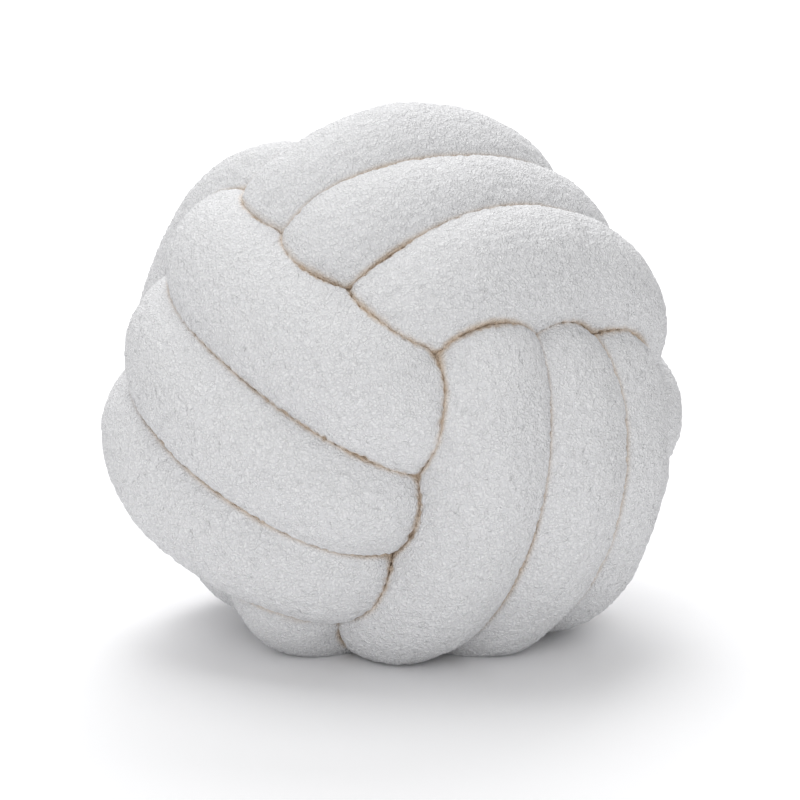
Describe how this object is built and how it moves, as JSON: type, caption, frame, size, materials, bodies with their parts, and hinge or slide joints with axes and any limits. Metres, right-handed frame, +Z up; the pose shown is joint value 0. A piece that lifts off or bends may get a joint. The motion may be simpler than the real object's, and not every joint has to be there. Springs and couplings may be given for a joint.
{
  "type": "knot cushion",
  "caption": "Ball-shaped knot cushion: one stuffed pile-fabric tube wound in three crossing bands of side-by-side turns, pressed slightly flat underneath.",
  "frame": {"origin": "on the floor under the middle of the bounding box", "axes": "+Z up, +Y away from the side whose bands cross in a three-way corner, +X to that side's right; +Z is the shortest extent because the ball is pressed flat underneath"},
  "size_m": [0.299, 0.2948, 0.2759],
  "materials": {
    "knot_tube": "short looped pile, matt"
  },
  "bodies": {
    "root": {"knot_tube": "knot_tube"}
  },
  "joints": []
}
